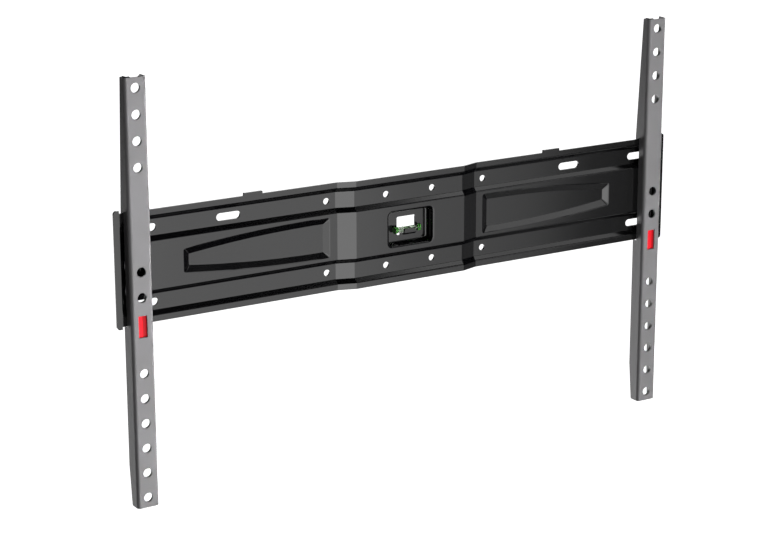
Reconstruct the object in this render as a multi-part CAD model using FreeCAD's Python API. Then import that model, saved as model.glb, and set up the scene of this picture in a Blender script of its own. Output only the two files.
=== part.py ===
import FreeCAD, Part
import math
import os

# Fixed wall bracket for a television: a pressed steel wall plate, two hanging arms and a spirit level.
# Millimetres. The wall is the plane Y = 0 and the front looks along -Y, +X runs along the plate, +Z up.
# The origin is the middle of the plate's back. "out" is always a distance out from the wall.

os.makedirs("parts", exist_ok=True)

# Wall plate
sheet = 2.0
inner_bend = 0.8
plate_length = 643.0
plate_height = 110.0
rim_width = 6.2
groove_depth = 4.0
groove_floor = 16.2
groove_slope = 4.2
groove_end_gap = 14.3
tray_corner = 10.0
island_corner = 4.0
end_overlap = 30.0
joggle_out = 6.0
centre_half = 63.5
joggle_run = 18.4
ear_width = 5.8
ear_height = 2.7
ear_corner = 3.0
tab_near = 164.5
tab_width = 20.5
tab_height = 2.8
tab_corner = 1.0

# Holes and slots for wall screws
screw_hole = 6.5
slot_width = 7.5
slot_length = 25.5
inner_hole_x = 27.0
outer_hole_x = 92.0
middle_slot_x = 200.0
end_slot_x = 289.4

# Tapered embossed fields
emboss_near = 90.3
emboss_far = 250.0
emboss_depth = 3.0
emboss_slope = 6.2
emboss_near_half = 20.4
emboss_far_half = 11.7
emboss_bulge = 2.4
emboss_corner = 2.0
emboss_foot_corner = 1.2

# Recess and window for the level
recess_half_x = 25.0
recess_half_z = 17.0
recess_corner = 4.0
window_half_x = 10.8
window_half_z = 9.5
window_corner = 1.6

# Spirit level and the tab that holds it
level_length = 30.0
level_centre = -1.0
level_drop = 2.9
tube_diameter = 6.0
tube_wall = 0.8
cap_diameter = 7.2
cap_flange = 1.6
cap_length = 4.0
cap_wall = 0.5
bubble_length = 7.0
clip_width = 13.0
clip_lip = 6.4
clip_clearance = 0.1

# Hanging arms
arm_spacing = 600.0
arm_width = 22.8
arm_length = 420.0
arm_sheet = 1.8
arm_bend = 3.4
arm_front = 17.2
arm_top_depth = 9.4
arm_foot_depth = 12.7
arm_foot_taper = 40.0
arm_foot_corner = 1.5
arm_far_side_trim = 3.0
screen_drop = 26.0
screen_hole = 9.4
screen_pitch = 25.0
screen_rows = (8, 7, 6, 5, 1, 0, -3, -4, -5, -6, -7, -8)
wall_gap = 0.3
slide_gap = 0.2
hook_gap = 0.4
hook_reach = 4.8
hook_lead = 1.0
hook_throat_gap = 1.8

# Window in the arm for the latch
port_width = 9.0
port_height = 21.4
port_drop = 54.5

# Stiffener inside each arm
stiffener_sheet = 1.4
stiffener_bend = 1.6
stiffener_depth = 6.8
stiffener_overrun = 0.8
stiffener_gap = 0.1
end_notch_width = 7.5
end_notch_depth = 5.0
end_notch_lead = 1.2

# Latch, its guide and spring
latch_width = 9.8
latch_nose_width = 8.0
latch_depth = 7.0
latch_above_port = 5.8
latch_below_port = 4.8
latch_gap = 0.3
latch_travel = 6.0
latch_edge_gap = 1.0
nose_reach = 4.6
nose_wall_gap = 0.7
nose_gap = 0.5
neck_height = 7.0
rail_width = 2.3
rail_gap = 0.3
guide_lip = 1.3
guide_lip_reach = 1.6
guide_floor = 2.0
peg_diameter = 3.0
peg_hole_gap = 0.15
peg_top_inset = 6.0
peg_foot_rise = 4.0
peg_back_gap = 2.7
spring_length = 14.0
spring_diameter = 5.2
spring_wire = 0.7
spring_turns = 5.5
spring_end_gap = 0.05
spring_post = 3.0
spring_post_length = 3.0

# Worked out from the sizes above
outer_bend = inner_bend + sheet
plate_out = groove_depth + sheet
centre_out = plate_out + joggle_out
half_height = plate_height / 2
half_length = plate_length / 2
row_z = half_height - rim_width - groove_slope - groove_floor / 2
mouth_z = half_height - rim_width
floor_z = mouth_z - groove_slope
island_z = mouth_z - 2 * groove_slope - groove_floor
island_foot_z = island_z + groove_slope
tray_end = half_length - rim_width - 0.8
island_end = tray_end - groove_slope - groove_end_gap
joggle_end = centre_half + joggle_run
screen_z = -screen_drop
arm_x = arm_spacing / 2
arm_half = arm_width / 2
arm_top = screen_z + arm_length / 2
arm_foot = screen_z - arm_length / 2
arm_hook_top = half_height + ear_height
arm_throat_foot = -half_height - hook_throat_gap
port_top = -port_drop + port_height / 2
port_foot = -port_drop - port_height / 2
latch_top = port_top + latch_above_port
latch_foot = port_foot - latch_below_port
seat_z = latch_foot - spring_length
guide_foot = seat_z - guide_floor
latch_front = arm_front - arm_sheet - latch_gap
latch_back = latch_front - latch_depth
latch_half = latch_width / 2
rail_in = latch_half + rail_gap
rail_out = rail_in + rail_width
web_front = arm_front - arm_sheet
web_back = web_front - stiffener_sheet
stiffener_half = arm_half - arm_sheet - stiffener_gap
spring_out = (latch_back - latch_gap + web_back) / 2
peg_heights = (latch_top - peg_top_inset, guide_foot + peg_foot_rise)
peg_out = web_back - peg_back_gap


def point(x, out, z):
    """A point at x, a distance out from the wall, and z."""
    return FreeCAD.Vector(x, -out, z)


def block(x0, x1, out0, out1, z0, z1):
    """A box between two corners given as x, distance out from the wall and z."""
    corner = point(x0, out1, z0)
    return Part.makeBox(x1 - x0, out1 - out0, z1 - z0, corner)


def rounded_wire(corners, radii):
    """Closed wire through corner points, each corner rounded to its radius."""
    count = len(corners)
    tangents = []
    for i, radius in enumerate(radii):
        here = corners[i]
        back = (corners[i - 1] - here).normalize()
        ahead = (corners[(i + 1) % count] - here).normalize()
        if radius <= 0:
            tangents.append((here, here, here))
            continue
        half_angle = back.getAngle(ahead) / 2
        reach = radius / math.tan(half_angle)
        middle_way = (back + ahead).normalize()
        middle = here + middle_way * (radius / math.sin(half_angle) - radius)
        tangents.append((here + back * reach, middle, here + ahead * reach))
    edges = []
    for i in range(count):
        start, middle, end = tangents[i]
        if radii[i] > 0:
            edges.append(Part.Arc(start, middle, end).toShape())
        following = tangents[(i + 1) % count][0]
        if end.distanceToPoint(following) > 1e-6:
            edges.append(Part.LineSegment(end, following).toShape())
    return Part.Wire(edges)


def prism(corners, radii, way):
    """Solid made by pushing a rounded outline along a vector."""
    return Part.Face(rounded_wire(corners, radii)).extrude(way)


def through_slot(x, z, length, width, reach):
    """Tool for a round-ended slot along X, cut from the wall to a reach out."""
    half = length / 2
    corners = [point(x - half, -1, z - width / 2), point(x + half, -1, z - width / 2),
               point(x + half, -1, z + width / 2), point(x - half, -1, z + width / 2)]
    return prism(corners, [width / 2 - 0.001] * 4, point(0, reach + 1, 0))


def through_hole(x, z, diameter, reach):
    """Tool for a round hole, cut from the wall to a reach out."""
    return Part.makeCylinder(diameter / 2, reach + 1, point(x, -1, z), point(0, 1, 0))


def bend_shift(run, depth):
    """How far an outline on the back of a sheet lies outside the same outline on its front."""
    return sheet * math.tan(math.atan2(depth, run) / 2)


def mirrored(shape):
    """The same shape on the other side of the plate's middle."""
    return shape.mirror(FreeCAD.Vector(0, 0, 0), FreeCAD.Vector(1, 0, 0))


def plate_section(x, lift):
    """Cross-section of the plate at x: rim, groove, raised field, groove, rim, as one bent sheet."""
    shift = bend_shift(groove_slope, groove_depth)
    low = lift + sheet
    high = lift + plate_out
    front = [(half_height, high, 0), (mouth_z, high, outer_bend), (floor_z, low, inner_bend),
             (island_foot_z, low, inner_bend), (island_z, high, outer_bend)]
    back = [(half_height, high - sheet, 0), (mouth_z + shift, high - sheet, inner_bend),
            (floor_z + shift, lift, outer_bend), (island_foot_z - shift, lift, outer_bend),
            (island_z - shift, high - sheet, inner_bend)]
    front = front + [(-z, out, r) for z, out, r in reversed(front)]
    back = back + [(-z, out, r) for z, out, r in reversed(back)]
    outline = front + list(reversed(back))
    return rounded_wire([point(x, out, z) for z, out, r in outline], [r for z, out, r in outline])


def plate_run(x0, lift0, x1, lift1):
    """One straight length of the plate between two stations along X."""
    section = Part.Face(plate_section(x0, lift0))
    return section.extrude(point(x1 - x0, lift1 - lift0, 0))


def dish_wire(x0, x1, half_z, out, corner):
    """Rounded rectangle outline at a distance out; only its far-end corners are rounded."""
    corners = [point(x0, out, -half_z), point(x1, out, -half_z), point(x1, out, half_z), point(x0, out, half_z)]
    return rounded_wire(corners, [0, corner, corner, 0])


def edges_at(solid, out, keep):
    """Edges of a solid that lie wholly at one distance from the wall and pass a test on their points."""
    chosen = []
    for edge in solid.Edges:
        places = [edge.valueAt(edge.FirstParameter + (edge.LastParameter - edge.FirstParameter) * t)
                  for t in (0.0, 0.5, 1.0)]
        if all(abs(p.y + out) < 1e-4 for p in places) and all(keep(p) for p in places):
            chosen.append(edge)
    return chosen


def end_mass(x0, top, floor, shift, high_radius, low_radius):
    """Everything behind one face of the plate's end: a rim round a tray with the raised field's end."""
    start = x0 - end_overlap
    mass = block(x0, half_length, -1, top, -half_height, half_height)
    tray_foot = tray_end - groove_slope
    tray = Part.makeLoft([dish_wire(start, tray_foot + shift, floor_z + shift, floor,
                                    tray_corner - groove_slope + shift),
                          dish_wire(start, tray_end + shift, mouth_z + shift, top, tray_corner + shift)],
                         True, True)
    island = Part.makeLoft([dish_wire(start, island_end + groove_slope - shift, island_foot_z - shift, floor,
                                      island_corner + groove_slope - shift),
                            dish_wire(start, island_end - shift, island_z - shift, top,
                                      island_corner - shift)], True, True)
    mass = mass.cut(tray.cut(island))

    def inside(p):
        return x0 - 0.01 < p.x < half_length - 0.1 and abs(p.z) < half_height - 0.1

    def on_cut(edge):
        middle = edge.valueAt((edge.FirstParameter + edge.LastParameter) / 2)
        return abs(middle.x - x0) < 1e-4

    high = [e for e in edges_at(mass, top, inside) if not on_cut(e)]
    mass = mass.makeFillet(high_radius, high)
    low = [e for e in edges_at(mass, floor, inside) if not on_cut(e)]
    return mass.makeFillet(low_radius, low)


def plate_end(x0):
    """The right-hand end of the plate, with its rim closed round the groove, and its stop ears."""
    shift = bend_shift(groove_slope, groove_depth)
    front = end_mass(x0, plate_out, sheet, 0.0, outer_bend, inner_bend)
    back = end_mass(x0, plate_out - sheet, 0.0, shift, inner_bend, outer_bend)
    end = front.cut(back.fuse(block(x0 - 1, half_length + 1, -2, 0, -half_height - 1, half_height + 1)))
    top = half_height + ear_height
    ear_x = half_length - ear_width
    corners = [point(ear_x, groove_depth, -top), point(half_length, groove_depth, -top),
               point(half_length, groove_depth, top), point(ear_x, groove_depth, top)]
    ears = prism(corners, [0, ear_corner, ear_corner, 0], point(0, sheet, 0))
    middle = block(ear_x - 1, half_length + 1, 0, plate_out + 1, -half_height, half_height)
    return end.fuse(ears.cut(middle))


def pocket_mass(outer, mouth, foot, top, floor, high_radius, low_radius):
    """A slab with one pocket: everything behind one face of a pressed field."""
    pocket = Part.makeLoft([foot, mouth], True, True)
    mass = outer.cut(pocket)
    box = outer.BoundBox

    def inside(p):
        return box.XMin + 0.1 < p.x < box.XMax - 0.1 and box.ZMin + 0.1 < p.z < box.ZMax - 0.1

    mass = mass.makeFillet(high_radius, edges_at(mass, top, inside))
    return mass.makeFillet(low_radius, edges_at(mass, floor, inside))


def emboss_wire(grow, out):
    """Tapered outline of the embossed field, bulging a little along its long sides."""
    near = emboss_near - grow
    far = emboss_far + grow
    near_half = emboss_near_half + grow
    far_half = emboss_far_half + grow
    corner = max(emboss_corner + grow, emboss_foot_corner)
    middle = (near + far) / 2
    middle_half = (near_half + far_half) / 2 + emboss_bulge
    top = Part.Arc(point(near, out, near_half), point(middle, out, middle_half), point(far, out, far_half))
    foot = Part.Arc(point(far, out, -far_half), point(middle, out, -middle_half), point(near, out, -near_half))
    far_end = Part.LineSegment(point(far, out, far_half), point(far, out, -far_half))
    near_end = Part.LineSegment(point(near, out, -near_half), point(near, out, near_half))
    sides = [top.toShape(), far_end.toShape(), foot.toShape(), near_end.toShape()]
    slab = Part.Face(Part.Wire(sides)).extrude(point(0, 1, 0))
    upright = [e for e in slab.Edges if abs(e.Vertexes[0].Y - e.Vertexes[-1].Y) > 0.5]
    slab = slab.makeFillet(corner, upright)
    for face in slab.Faces:
        if abs(face.CenterOfMass.y + out) < 1e-6:
            return face.OuterWire
    return None


def emboss_patch(margin):
    """A piece of the flat field with the tapered emboss pressed into it, and the box it fills."""
    shift = bend_shift(emboss_slope, emboss_depth)
    x0 = emboss_near - margin
    x1 = emboss_far + margin
    half_z = emboss_near_half + margin * 0.4
    floor = plate_out - emboss_depth
    front = pocket_mass(block(x0, x1, -1, plate_out, -half_z, half_z), emboss_wire(0, plate_out),
                        emboss_wire(-emboss_slope, floor), plate_out, floor, outer_bend, inner_bend)
    high = plate_out - sheet
    low = floor - sheet
    back = pocket_mass(block(x0, x1, -1, high, -half_z, half_z), emboss_wire(shift, high),
                       emboss_wire(shift - emboss_slope, low), high, low, inner_bend, outer_bend)
    return front.cut(back), block(x0, x1, -1, plate_out + 1, -half_z, half_z)


def recess_patch():
    """The piece of the centre field with the deep square recess for the level."""
    margin = 5.5
    half_x = recess_half_x + margin
    half_z = recess_half_z + margin

    def outline(grow, out):
        x = recess_half_x + grow
        z = recess_half_z + grow
        corners = [point(-x, out, -z), point(x, out, -z), point(x, out, z), point(-x, out, z)]
        return rounded_wire(corners, [recess_corner + grow] * 4)

    high = centre_out - sheet
    front = pocket_mass(block(-half_x, half_x, -1, centre_out, -half_z, half_z), outline(0, centre_out),
                        outline(0, sheet), centre_out, sheet, outer_bend, outer_bend - 0.2)
    back = block(-half_x, half_x, -1, high, -half_z, half_z)
    plug = Part.makeLoft([outline(sheet, -1), outline(sheet, high)], True, True)
    back = back.cut(plug)

    def inside(p):
        return abs(p.x) < half_x - 0.1 and abs(p.z) < half_z - 0.1

    back = back.makeFillet(inner_bend, edges_at(back, high, inside))
    floor = block(-half_x, half_x, -2, 0, -half_z, half_z)
    return front.cut(back).cut(floor), block(-half_x, half_x, -1, centre_out + 1, -half_z, half_z)


def level_clip():
    """The tab cut from the window and bent out and up in front of the level."""
    axis_out = sheet + cap_diameter / 2
    tube_low = -level_drop - tube_diameter / 2
    shelf_top = tube_low - clip_clearance
    lip_in = axis_out + tube_diameter / 2 + clip_clearance
    lip_out = lip_in + sheet
    lip_top = shelf_top - sheet + clip_lip
    root = -window_half_z - 1.0
    outline = [(0, root, 0), (0, shelf_top, outer_bend), (lip_in, shelf_top, inner_bend), (lip_in, lip_top, 0),
               (lip_out, lip_top, 0), (lip_out, shelf_top - sheet, outer_bend),
               (sheet, shelf_top - sheet, inner_bend), (sheet, root, 0)]
    half = clip_width / 2
    wire = rounded_wire([point(-half, out, z) for out, z, r in outline], [r for out, z, r in outline])
    return Part.Face(wire).extrude(FreeCAD.Vector(clip_width, 0, 0))


def plate_tabs():
    """Stop tab on the top edge, on the right-hand side."""
    low = half_height - 1
    top = half_height + tab_height
    corners = [point(tab_near, groove_depth, low), point(tab_near + tab_width, groove_depth, low),
               point(tab_near + tab_width, groove_depth, top), point(tab_near, groove_depth, top)]
    return prism(corners, [0, 0, tab_corner, tab_corner], point(0, sheet, 0))


def make_wall_plate():
    """The whole pressed plate as one solid."""
    end_start = island_end - island_corner - groove_slope
    side = plate_run(joggle_end, 0, end_start, 0)
    ramp = plate_run(centre_half, joggle_out, joggle_end, 0)
    patch, hole = emboss_patch(4.5)
    side = side.cut(hole).fuse(patch)
    half = [side, ramp, plate_end(end_start), plate_tabs()]
    centre = plate_run(-centre_half, joggle_out, centre_half, joggle_out)
    recess, hole = recess_patch()
    centre = centre.cut(hole).fuse(recess)
    window = [point(-window_half_x, -1, -window_half_z), point(window_half_x, -1, -window_half_z),
              point(window_half_x, -1, window_half_z), point(-window_half_x, -1, window_half_z)]
    centre = centre.cut(prism(window, [window_corner] * 4, point(0, sheet + 3, 0)))
    centre = centre.fuse(level_clip())
    plate = centre.fuse(half + [mirrored(piece) for piece in half])
    tools = []
    reach = centre_out + 2
    for side_sign in (-1, 1):
        for z in (row_z, -row_z):
            tools.append(through_hole(side_sign * inner_hole_x, z, screw_hole, reach))
            tools.append(through_hole(side_sign * outer_hole_x, z, screw_hole, reach))
            tools.append(through_slot(side_sign * end_slot_x, z, slot_length, slot_width, reach))
        tools.append(through_slot(side_sign * middle_slot_x, row_z, slot_length, slot_width, reach))
    return plate.cut(Part.makeCompound(tools)).removeSplitter()


def channel(half, front, depth, thick, bend, z0, z1):
    """A folded channel with its web to the front and its flanges towards the wall."""
    back = front - depth
    inner = half - thick
    outline = [(-half, back, 0), (-half, front, bend), (half, front, bend), (half, back, 0),
               (inner, back, 0), (inner, front - thick, bend - thick),
               (-inner, front - thick, bend - thick), (-inner, back, 0)]
    corners = [point(x, out, z0) for x, out, r in outline]
    return prism(corners, [max(r, 0) for x, out, r in outline], FreeCAD.Vector(0, 0, z1 - z0))


def screen_holes():
    """Tools for the column of screw holes that takes the screen's fixing screws."""
    tools = [through_hole(0, screen_z + row * screen_pitch, screen_hole, arm_front + 2) for row in screen_rows]
    return Part.makeCompound(tools)


def arm_side():
    """Side outline of the arm: hook over the plate's top edge, notch for the plate, tapered ends."""
    top_back = arm_front - arm_top_depth
    foot_back = arm_front - arm_foot_depth
    seat = half_height + slide_gap
    tongue = groove_depth - hook_gap
    face = plate_out + slide_gap
    outline = [(arm_front + 1, arm_top, 0), (top_back, arm_top, 0), (wall_gap, arm_hook_top, 0),
               (wall_gap, half_height - hook_reach + hook_lead, 0),
               (wall_gap + hook_lead, half_height - hook_reach, 0),
               (tongue, half_height - hook_reach, 0), (tongue, seat, 0), (face, seat, 0),
               (face, arm_throat_foot, 0), (wall_gap, arm_throat_foot, 0),
               (wall_gap, arm_foot + arm_foot_taper, 0), (foot_back, arm_foot, arm_foot_corner),
               (arm_front + 1, arm_foot, 0)]
    corners = [point(-arm_half - 1, out, z) for out, z, r in outline]
    return prism(corners, [r for out, z, r in outline], FreeCAD.Vector(arm_width + 2, 0, 0))


def far_side_trim():
    """Tools that leave the arm's right-hand flange shallower, above its hook and below the plate."""
    top_back = arm_front - arm_top_depth + arm_far_side_trim
    foot_back = arm_front - arm_foot_depth + arm_far_side_trim / 2
    back = wall_gap + arm_far_side_trim
    upper = [(-1, arm_hook_top), (wall_gap, arm_hook_top), (top_back, arm_top), (top_back, arm_top + 1),
             (-1, arm_top + 1)]
    lower = [(-1, arm_throat_foot + 1), (back, arm_throat_foot + 1), (back, arm_foot + arm_foot_taper),
             (foot_back, arm_foot), (foot_back, arm_foot - 1), (-1, arm_foot - 1)]
    tools = []
    for outline in (upper, lower):
        corners = [point(arm_half - arm_sheet - 0.5, out, z) for out, z in outline]
        tools.append(prism(corners, [0] * len(corners), FreeCAD.Vector(arm_sheet + 1.5, 0, 0)))
    return Part.makeCompound(tools)


def port_box(half_x, top, foot, out0, out1, corner):
    """Rounded rectangular cutter through an arm's web."""
    corners = [point(-half_x, out0, foot), point(half_x, out0, foot), point(half_x, out0, top),
               point(-half_x, out0, top)]
    return prism(corners, [corner] * 4, point(0, out1 - out0, 0))


def make_arm():
    """Outer channel of an arm, folded from one sheet."""
    arm = channel(arm_half, arm_front, arm_front, arm_sheet, arm_bend, arm_foot, arm_top)
    arm = arm.common(arm_side()).cut(far_side_trim()).cut(screen_holes())
    return arm.cut(port_box(port_width / 2, port_top, port_foot, web_back, arm_front + 1, 0.5))


def make_stiffener():
    """Inner channel that lines the arm, notched at its ends and opened for the latch."""
    top = arm_top + stiffener_overrun
    foot = arm_foot - stiffener_overrun
    liner = channel(stiffener_half, web_front, stiffener_depth, stiffener_sheet, stiffener_bend, foot, top)
    liner = liner.cut(screen_holes())
    half = end_notch_width / 2
    for end, inward in ((top, -1), (foot, 1)):
        corners = [point(-half - end_notch_lead, web_back - 1, end - inward * 0.01),
                   point(-half, web_back - 1, end + inward * end_notch_lead),
                   point(-half, web_back - 1, end + inward * end_notch_depth),
                   point(half, web_back - 1, end + inward * end_notch_depth),
                   point(half, web_back - 1, end + inward * end_notch_lead),
                   point(half + end_notch_lead, web_back - 1, end - inward * 0.01)]
        liner = liner.cut(prism(corners, [0, 0, 1.0, 1.0, 0, 0], point(0, stiffener_sheet + 2, 0)))
    opening = port_box(rail_in, latch_top + latch_gap, latch_foot - latch_travel - latch_gap, web_back - 1,
                       web_front + 1, 1.0)
    liner = liner.cut(opening)
    for z in peg_heights:
        hole = Part.makeCylinder(peg_diameter / 2 + peg_hole_gap, arm_width, point(-arm_half, peg_out, z),
                                 FreeCAD.Vector(1, 0, 0))
        liner = liner.cut(hole)
    return liner


def make_latch():
    """Spring latch: a slider behind the window with a nose that catches behind the plate's lower rim."""
    body = block(-latch_half, latch_half, latch_back, latch_front, latch_foot, latch_top)
    neck_top = -half_height - latch_edge_gap
    neck_foot = neck_top - neck_height
    nose_in = groove_depth - nose_gap
    nose_top = -half_height + nose_reach
    outline = [(latch_back + 1, neck_top, 0), (nose_in, neck_top, 0.4), (nose_in, nose_top - 1.2, 0),
               (nose_in - 1.0, nose_top, 0.4), (nose_wall_gap, nose_top - 2.6, 0.8),
               (nose_wall_gap, neck_foot + 3.5, 1.0), (nose_in + 1.5, neck_foot, 1.0),
               (latch_back + 1, neck_foot, 0)]
    half = latch_nose_width / 2
    corners = [point(-half, out, z) for out, z, r in outline]
    nose = prism(corners, [r for out, z, r in outline], FreeCAD.Vector(latch_nose_width, 0, 0))
    post = Part.makeCylinder(spring_post / 2, spring_post_length,
                             point(0, spring_out, latch_foot - spring_post_length), FreeCAD.Vector(0, 0, 1))
    return body.fuse([nose, post]).removeSplitter()


def make_guide():
    """Moulded guide in which the latch slides, with the seat for its spring."""
    back = latch_back - latch_gap - guide_lip
    top = latch_top + latch_gap + guide_floor
    neck_low = -half_height - latch_edge_gap - neck_height - latch_travel - latch_gap
    solid = block(-rail_out, rail_out, back, web_back - 0.1, guide_foot, top)
    run = block(-rail_in, rail_in, latch_back - latch_gap, web_back + 1, seat_z, latch_top + latch_gap)
    lip_edge = rail_in - guide_lip_reach
    slit = block(-lip_edge, lip_edge, back - 1, web_back, neck_low, top + 1)
    way = block(-rail_in, rail_in, back - 1, latch_back, neck_low, -half_height + 1)
    post = Part.makeCylinder(spring_post / 2, spring_post_length, point(0, spring_out, seat_z),
                             FreeCAD.Vector(0, 0, 1))
    guide = solid.cut(run).cut(slit).cut(way).fuse(post)
    reach = stiffener_half - stiffener_gap
    for z in peg_heights:
        for sign in (-1, 1):
            peg = Part.makeCylinder(peg_diameter / 2, reach - rail_out + 0.5,
                                    point(sign * (rail_out - 0.5), peg_out, z), FreeCAD.Vector(sign, 0, 0))
            guide = guide.fuse(peg)
    return guide.removeSplitter()


def make_spring():
    """Compression spring between the guide's seat and the latch."""
    radius = (spring_diameter - spring_wire) / 2
    height = spring_length - spring_wire - 2 * spring_end_gap
    helix = Part.makeHelix(height / spring_turns, height, radius)
    section = Part.Wire(Part.makeCircle(spring_wire / 2, FreeCAD.Vector(radius, 0, 0), FreeCAD.Vector(0, 1, 0)))
    coil = Part.Wire(helix.Edges).makePipeShell([section], True, True)
    coil.translate(point(0, spring_out, seat_z + spring_wire / 2 + spring_end_gap))
    return coil


def level_axis_cylinder(diameter, x0, x1):
    """A cylinder along the level's axis."""
    start = point(level_centre + x0, sheet + cap_diameter / 2, -level_drop)
    return Part.makeCylinder(diameter / 2, x1 - x0, start, FreeCAD.Vector(1, 0, 0))


def make_level_tube():
    """Clear tube of the level, open at both ends."""
    half = level_length / 2 - cap_wall
    tube = level_axis_cylinder(tube_diameter, -half, half)
    return tube.cut(level_axis_cylinder(tube_diameter - 2 * tube_wall, -half - 1, half + 1))


def make_level_liquid():
    """Liquid in the tube, with the bubble left out of its top."""
    end = level_length / 2 - cap_length
    bore = tube_diameter - 2 * tube_wall
    liquid = level_axis_cylinder(bore, -end, end)
    rise = bore / 2
    bubble = level_axis_cylinder(bore * 0.62, -bubble_length / 2, bubble_length / 2)
    bubble = bubble.makeFillet(bore * 0.28, bubble.Edges[0:1] + bubble.Edges[2:3])
    bubble.translate(FreeCAD.Vector(0, 0, rise * 0.30))
    return liquid.cut(bubble)


def make_level_cap():
    """Right-hand end cap: a plug in the tube's bore, a flange and a thin cover over the tube's end."""
    end = level_length / 2
    inner = end - cap_length
    bore = tube_diameter - 2 * tube_wall
    plug = level_axis_cylinder(bore - 0.02, inner, end)
    flange = level_axis_cylinder(cap_diameter, end - cap_flange, end)
    sleeve = level_axis_cylinder(tube_diameter + 2 * 0.3, inner + 0.4, end)
    shell = flange.fuse(sleeve)
    room = level_axis_cylinder(tube_diameter, inner - 1, end - cap_wall)
    return shell.cut(room).fuse(plug).removeSplitter()


def save(name, shape):
    """Write one piece."""
    if shape.ShapeType == "Compound" and len(shape.Solids) == 1:
        shape = shape.Solids[0]
    shape.exportStep("parts/" + name + ".step")
    print(name, "solids", len(shape.Solids), "valid", shape.isValid(), "volume", round(shape.Volume, 1))


save("wall_plate", make_wall_plate())

for side_name, sign in (("left", -1), ("right", 1)):
    place = FreeCAD.Vector(sign * arm_x, 0, 0)
    for piece_name, maker in (("arm", make_arm), ("arm_stiffener", make_stiffener), ("latch", make_latch),
                              ("latch_guide", make_guide), ("latch_spring", make_spring)):
        piece = maker()
        piece.translate(place)
        save(side_name + "_" + piece_name, piece)

save("level_tube", make_level_tube())
save("level_liquid", make_level_liquid())
right_cap = make_level_cap()
save("level_right_cap", right_cap)
save("level_left_cap", right_cap.mirror(point(level_centre, 0, 0), FreeCAD.Vector(1, 0, 0)))
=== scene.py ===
import bpy
import numpy as np
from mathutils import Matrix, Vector

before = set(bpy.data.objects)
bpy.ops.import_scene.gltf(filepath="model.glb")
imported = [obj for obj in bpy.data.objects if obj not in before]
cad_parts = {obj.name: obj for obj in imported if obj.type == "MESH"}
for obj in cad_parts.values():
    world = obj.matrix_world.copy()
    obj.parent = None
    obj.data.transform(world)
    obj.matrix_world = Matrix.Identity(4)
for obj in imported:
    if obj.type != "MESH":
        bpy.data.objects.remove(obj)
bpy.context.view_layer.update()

# Wall plate
# One pressed sheet of mild steel, 2 mm thick, with grooves, embosses and a raised centre.
# Finish: black powder coat, satin, which gives soft grey reflections on nearly black paint.
mm = 0.001


def hex_colour(code):
    """sRGB hex code to linear red, green, blue and alpha.

    Each channel is ((c + 0.055) / 1.055) ^ 2.4, or c / 12.92 when dark."""
    c = np.array([int(code[i:i + 2], 16) for i in (1, 3, 5)]) / 255.0
    linear = np.where(c <= 0.04045, c / 12.92, ((c + 0.055) / 1.055) ** 2.4)
    return (*linear.tolist(), 1.0)


def new_material(name):
    """An empty node material."""
    mat = bpy.data.materials.new(name)
    mat.use_nodes = True
    mat.node_tree.nodes.clear()
    return mat


def add_node(mat, kind, settings=None, links=None):
    """Add one node: settings go to its properties or sockets, links join its sockets to outputs."""
    node = mat.node_tree.nodes.new(kind)
    for key, value in (settings or {}).items():
        if isinstance(key, str) and hasattr(node, key):
            setattr(node, key, value)
        else:
            node.inputs[key].default_value = value
    for key, source in (links or {}).items():
        mat.node_tree.links.new(source, node.inputs[key])
    return node


def powder_coat(name, dark, light, metallic, roughness, specular, peel_width, peel_height):
    """Baked powder paint: fine orange peel, slow mottling, and edges rounded by the film."""
    mottle_width = 60 * mm
    film_radius = 0.25 * mm
    gloss_swing = 0.01
    mat = new_material(name)
    where = add_node(mat, "ShaderNodeTexCoord").outputs["Object"]
    peel = add_node(mat, "ShaderNodeTexNoise",
                    {"Scale": 1 / peel_width, "Detail": 2.0, "Roughness": 0.5}, {"Vector": where})
    mottle = add_node(mat, "ShaderNodeTexNoise",
                      {"Scale": 1 / mottle_width, "Detail": 3.0, "Roughness": 0.6},
                      {"Vector": where})
    colour = add_node(mat, "ShaderNodeValToRGB", {}, {"Fac": mottle.outputs["Fac"]})
    colour.color_ramp.elements[0].position = 0.35
    colour.color_ramp.elements[0].color = hex_colour(dark)
    colour.color_ramp.elements[1].position = 0.65
    colour.color_ramp.elements[1].color = hex_colour(light)
    gloss = add_node(mat, "ShaderNodeMapRange",
                     {"From Min": 0.3, "From Max": 0.7, "To Min": roughness - gloss_swing,
                      "To Max": roughness + gloss_swing}, {"Value": mottle.outputs["Fac"]})
    film = add_node(mat, "ShaderNodeBevel", {"samples": 4, "Radius": film_radius})
    skin = add_node(mat, "ShaderNodeBump", {"Strength": 0.6, "Distance": peel_height},
                    {"Height": peel.outputs["Fac"], "Normal": film.outputs["Normal"]})
    shader = add_node(mat, "ShaderNodeBsdfPrincipled",
                      {"Metallic": metallic, "IOR": 1.5, "Specular IOR Level": specular},
                      {"Base Color": colour.outputs["Color"], "Roughness": gloss.outputs["Result"],
                       "Normal": skin.outputs["Normal"]})
    add_node(mat, "ShaderNodeOutputMaterial", {}, {"Surface": shader.outputs["BSDF"]})
    return mat


def dress(node, mat):
    """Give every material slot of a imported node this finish."""
    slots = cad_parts[node].material_slots
    for one in slots:
        one.material = mat
    if not slots:
        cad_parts[node].data.materials.append(mat)


# The peel is drawn at 1.6 mm, a little coarser than real, so that it shows.
plate_paint = powder_coat("black powder coat", "#050506", "#070708", 0.0, 0.13, 0.49,
                          1.6 * mm, 0.006 * mm)
dress("wall_plate", plate_paint)

# Hanging arms
# Channels folded from 1.8 mm steel, twelve punched holes each, with a hook for the plate's top
# edge. Finish: mid-grey powder coat, nearly matt, with a little metal flake in it.
arm_paint = powder_coat("grey powder coat", "#787778", "#7d7c7e", 0.15, 0.50, 0.35,
                        1.4 * mm, 0.008 * mm)
for side in ("left", "right"):
    dress(side + "_arm", arm_paint)

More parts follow.
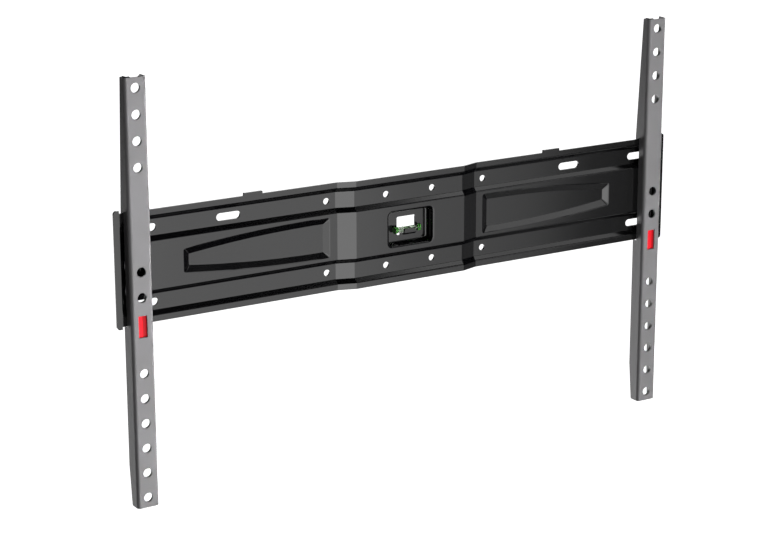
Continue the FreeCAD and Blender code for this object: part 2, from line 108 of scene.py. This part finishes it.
# Stiffeners
# The second channel inside each arm, folded from 1.4 mm steel and welded to the arm's web.
# Finish: black powder coat as on the plate, but less glossy, as it is inside the arm.
liner_paint = powder_coat("black powder coat on liner", "#141415", "#19191a", 0.0, 0.36, 0.5,
                          1.6 * mm, 0.010 * mm)
for side in ("left", "right"):
    dress(side + "_arm_stiffener", liner_paint)


# Latches and guides
# The latch is moulded in red acetal, the guide in black nylon; the guide's pegs snap into the
# stiffener. Moulded plastic has a fine spark-eroded grain and a soft sheen. The grain is drawn at
# 0.8 mm, coarser than real, so that it shows.
def moulded(name, dark, light, roughness, specular, grain_width):
    """Moulded plastic: spark-eroded grain as a low bump, and a slow change in tone from flow."""
    flow_width = 12 * mm
    grain_height = 0.01 * mm
    edge_radius = 0.4 * mm
    mat = new_material(name)
    where = add_node(mat, "ShaderNodeTexCoord").outputs["Object"]
    grain = add_node(mat, "ShaderNodeTexNoise",
                     {"Scale": 1 / grain_width, "Detail": 3.0, "Roughness": 0.6},
                     {"Vector": where})
    flow = add_node(mat, "ShaderNodeTexNoise", {"Scale": 1 / flow_width, "Detail": 1.0},
                    {"Vector": where})
    colour = add_node(mat, "ShaderNodeValToRGB", {}, {"Fac": flow.outputs["Fac"]})
    colour.color_ramp.elements[0].position = 0.3
    colour.color_ramp.elements[0].color = hex_colour(dark)
    colour.color_ramp.elements[1].position = 0.7
    colour.color_ramp.elements[1].color = hex_colour(light)
    rounded = add_node(mat, "ShaderNodeBevel", {"samples": 4, "Radius": edge_radius})
    skin = add_node(mat, "ShaderNodeBump", {"Strength": 0.5, "Distance": grain_height},
                    {"Height": grain.outputs["Fac"], "Normal": rounded.outputs["Normal"]})
    shader = add_node(mat, "ShaderNodeBsdfPrincipled",
                      {"Roughness": roughness, "IOR": 1.48, "Specular IOR Level": specular},
                      {"Base Color": colour.outputs["Color"], "Normal": skin.outputs["Normal"]})
    add_node(mat, "ShaderNodeOutputMaterial", {}, {"Surface": shader.outputs["BSDF"]})
    return mat


red_acetal = moulded("red acetal", "#fb1826", "#ff202e", 0.42, 0.25, 0.8 * mm)
black_nylon = moulded("black nylon", "#141414", "#1a1a1a", 0.5, 0.5, 0.8 * mm)
for side in ("left", "right"):
    dress(side + "_latch", red_acetal)
    dress(side + "_latch_guide", black_nylon)


# Latch springs
# Coiled from 0.7 mm bright spring wire, pressed between the guide's seat and the latch.
# Drawn wire has a bright metal sheen with fine marks, drawn here at 0.6 mm, coarser than real.
def drawn_wire(name, dark, light):
    """Bright drawn steel: metal whose tone and roughness vary in fine marks."""
    mark_width = 0.6 * mm
    mat = new_material(name)
    where = add_node(mat, "ShaderNodeTexCoord").outputs["Object"]
    marks = add_node(mat, "ShaderNodeTexNoise", {"Scale": 1 / mark_width, "Detail": 2.0},
                     {"Vector": where})
    colour = add_node(mat, "ShaderNodeValToRGB", {}, {"Fac": marks.outputs["Fac"]})
    colour.color_ramp.elements[0].color = hex_colour(dark)
    colour.color_ramp.elements[1].color = hex_colour(light)
    gloss = add_node(mat, "ShaderNodeMapRange", {"To Min": 0.22, "To Max": 0.34},
                     {"Value": marks.outputs["Fac"]})
    shader = add_node(mat, "ShaderNodeBsdfPrincipled", {"Metallic": 1.0},
                      {"Base Color": colour.outputs["Color"],
                       "Roughness": gloss.outputs["Result"]})
    add_node(mat, "ShaderNodeOutputMaterial", {}, {"Surface": shader.outputs["BSDF"]})
    return mat


spring_wire = drawn_wire("bright spring wire", "#a8a8a6", "#c4c4c2")
for side in ("left", "right"):
    dress(side + "_latch_spring", spring_wire)


# Spirit level
# A clear acrylic tube of pale green liquid with a bubble, closed by a green cap at each end.
# It lies on the recess floor, held by the tab that is bent up in front of it.
def clear(name, tint, ior, roughness):
    """Clear moulding or liquid: light passes, with a faint waviness in the surface."""
    wave_width = 4 * mm
    wave_height = 0.02 * mm
    mat = new_material(name)
    where = add_node(mat, "ShaderNodeTexCoord").outputs["Object"]
    wave = add_node(mat, "ShaderNodeTexNoise", {"Scale": 1 / wave_width, "Detail": 1.0},
                    {"Vector": where})
    skin = add_node(mat, "ShaderNodeBump", {"Strength": 0.15, "Distance": wave_height},
                    {"Height": wave.outputs["Fac"]})
    shader = add_node(mat, "ShaderNodeBsdfPrincipled",
                      {"Base Color": hex_colour(tint), "Transmission Weight": 1.0, "IOR": ior,
                       "Roughness": roughness}, {"Normal": skin.outputs["Normal"]})
    add_node(mat, "ShaderNodeOutputMaterial", {}, {"Surface": shader.outputs["BSDF"]})
    return mat


dress("level_tube", clear("clear acrylic", "#e6ebe4", 1.49, 0.02))
dress("level_liquid", clear("green level liquid", "#8fae86", 1.36, 0.0))
green_caps = moulded("green polystyrene", "#2f6a22", "#37762a", 0.14, 0.5, 0.8 * mm)
for side in ("left", "right"):
    dress("level_" + side + "_cap", green_caps)


# Studio
# A white floor well below, as the bracket hangs on a wall, and a white surround for camera,
# glossy and clear rays.
def seen_directly(mat):
    """1 for rays that see the background itself: from the camera, by gloss or through glass."""
    ray = add_node(mat, "ShaderNodeLightPath")
    seen = add_node(mat, "ShaderNodeMath", {"operation": "MAXIMUM"},
                    {0: ray.outputs["Is Camera Ray"], 1: ray.outputs["Is Glossy Ray"]})
    seen = add_node(mat, "ShaderNodeMath", {"operation": "MAXIMUM"},
                    {0: seen.outputs[0], 1: ray.outputs["Is Transmission Ray"]})
    return seen.outputs[0]


floor_depth = 2.6
floor_half = 30.0
corners = np.array([[-1, -1], [1, -1], [1, 1], [-1, 1]]) * floor_half
floor_mesh = bpy.data.meshes.new("floor")
floor_mesh.from_pydata([(x, y, -floor_depth) for x, y in corners.tolist()], [], [(0, 1, 2, 3)])
floor = bpy.data.objects.new("floor", floor_mesh)
bpy.context.scene.collection.objects.link(floor)
floor_paint = new_material("white studio floor")
white = (1.0, 1.0, 1.0, 1.0)
matt = add_node(floor_paint, "ShaderNodeBsdfDiffuse", {"Color": hex_colour("#e8e8e8")})
glow = add_node(floor_paint, "ShaderNodeEmission", {"Color": white},
                {"Strength": seen_directly(floor_paint)})
both = add_node(floor_paint, "ShaderNodeAddShader", {}, {0: matt.outputs[0], 1: glow.outputs[0]})
add_node(floor_paint, "ShaderNodeOutputMaterial", {}, {"Surface": both.outputs[0]})
floor.data.materials.append(floor_paint)

world = bpy.data.worlds.new("studio")
bpy.context.scene.world = world
world.use_nodes = True
world.node_tree.nodes.clear()
room_light = 0.30
tone = add_node(world, "ShaderNodeMapRange", {"To Min": room_light, "To Max": 1.0},
                {"Value": seen_directly(world)})
sky = add_node(world, "ShaderNodeBackground", {"Color": white},
               {"Strength": tone.outputs["Result"]})
add_node(world, "ShaderNodeOutputWorld", {}, {"Surface": sky.outputs[0]})


# Lamps
# A row of soft panels stands in front, smaller ones at the right, below and behind. Black paint
# shows mostly what it mirrors, so each panel stands where one face or ramp of the plate looks.
def softbox(name, at, towards, wide, high, radiance, spread=180.0):
    """A soft lamp turned to look at a point; its power is radiance times pi times area.

    A lamp with a grid, whose spread is narrow, isn't mirrored in the paint."""
    data = bpy.data.lights.new(name, "AREA")
    data.shape = "RECTANGLE"
    data.size = wide
    data.size_y = high
    data.energy = radiance * np.pi * wide * high
    data.spread = np.radians(spread)
    lamp = bpy.data.objects.new(name, data)
    lamp.location = at
    way = Vector(towards) - Vector(at)
    lamp.rotation_euler = way.to_track_quat("-Z", "Y").to_euler()
    lamp.visible_camera = False
    lamp.visible_glossy = spread > 90.0
    bpy.context.scene.collection.objects.link(lamp)


# The front row's strength falls off to the right: left edge, right edge, radiance.
front_row = ((-1.25, -0.75, 1.6), (-0.55, -0.10, 3.0), (-0.10, 0.72, 1.35), (0.72, 1.31, 0.94),
             (1.31, 1.60, 0.22), (1.60, 1.90, 0.080), (1.90, 2.40, 0.200))
row_out, row_height, panel_high = -2.2, -0.55, 2.3
for left_edge, right_edge, radiance in front_row:
    middle = (left_edge + right_edge) / 2
    softbox("front panel", (middle, row_out, row_height), (middle, 0.0, row_height),
            right_edge - left_edge, panel_high, radiance)

# Each lamp's place, the point it looks at, its width, height and radiance.
for name, at, towards, wide, high, radiance in (
        ("right fill", (2.2, -2.66, 1.60), (0.0, -2.66, 1.60), 0.9, 0.9, 2.1),
        ("right side panel", (2.45, -0.95, -0.66), (0.0, -0.95, -0.66), 0.4, 0.9, 0.27),
        ("right rear panel", (2.45, -0.12, -0.62), (0.0, -0.12, -0.62), 0.4, 0.9, 0.16),
        ("lower right panel", (1.95, -0.95, -2.45), (1.95, -0.95, 0.0), 0.5, 0.9, 0.33),
        ("upper right fill", (2.2, -0.9, 2.85), (0.0, -0.9, 2.85), 1.2, 1.3, 1.4),
        ("lower rear fill", (-0.10, 1.35, -0.80), (0.1, 0.0, -0.15), 1.0, 1.3, 4.2),
        ("rear softbox", (1.5, 2.6, 0.3), (0.0, 0.0, 0.0), 1.8, 1.8, 1.6)):
    softbox(name, at, towards, wide, high, radiance)

# The gridded lamp lights the arms' faces from the right and leaves their bends dark.
softbox("arm light", (2.3, -1.35, -0.05), (-0.58, 0.0, -0.03), 0.3, 1.2, 7.2, spread=30.0)


# Dark studio cards
# Black felt boards round the bracket, out of the camera's sight, as a studio hangs them round
# black gloss, so that its bends and edges read dark beside the lit faces.
def card(name, corners):
    """A flat board between four corners, seen only in reflections."""
    mesh = bpy.data.meshes.new(name)
    mesh.from_pydata(corners, [], [(0, 1, 2, 3)])
    board = bpy.data.objects.new(name, mesh)
    board.visible_camera = False
    board.visible_transmission = False
    board.data.materials.append(felt)
    bpy.context.scene.collection.objects.link(board)


felt = new_material("black felt")
pile = add_node(felt, "ShaderNodeBsdfDiffuse", {"Color": hex_colour("#0e0e0e")})
add_node(felt, "ShaderNodeOutputMaterial", {}, {"Surface": pile.outputs[0]})
top, foot, near, far = 3.6, -2.5, -3.2, 2.0
left_wall, right_wall, rear_wall = -2.4, 2.5, 1.45
left_end, right_end = -4.0, 4.5
upper_edge, lower_edge = 2.3, 2.2
front_foot, rear_foot, rear_edge = 0.7, -0.35, 0.3
card("upper card", [(left_end, near, top), (upper_edge, near, top), (upper_edge, far, top),
                    (left_end, far, top)])
card("lower card", [(left_wall, near, foot), (lower_edge, near, foot), (lower_edge, far, foot),
                    (left_wall, far, foot)])
card("front upper card", [(left_end, near, front_foot), (right_end, near, front_foot),
                          (right_end, near, top), (left_end, near, top)])
card("right card", [(right_wall, near, foot), (right_wall, 0.5, foot), (right_wall, 0.5, top),
                    (right_wall, near, top)])
card("left card", [(left_wall, near, foot), (left_wall, 1.2, foot), (left_wall, 1.2, top),
                   (left_wall, near, top)])
card("rear left card", [(-3.0, rear_wall, rear_foot), (rear_edge, rear_wall, rear_foot),
                        (rear_edge, rear_wall, top), (-3.0, rear_wall, top)])

# Camera
# Solved from the photograph: a long lens seen from the left and a little above.
camera_data = bpy.data.cameras.new("camera")
camera_data.lens = 106.2
camera_data.sensor_width = 36.0
camera_data.clip_end = 50.0
camera = bpy.data.objects.new("camera", camera_data)
camera.location = (-1.162, -1.8736, 0.580)
camera.rotation_mode = "XYZ"
camera.rotation_euler = np.radians([74.0691, 0.1077, -31.2920])
bpy.context.scene.collection.objects.link(camera)
bpy.context.scene.camera = camera

bpy.context.scene.view_settings.view_transform = "Standard"
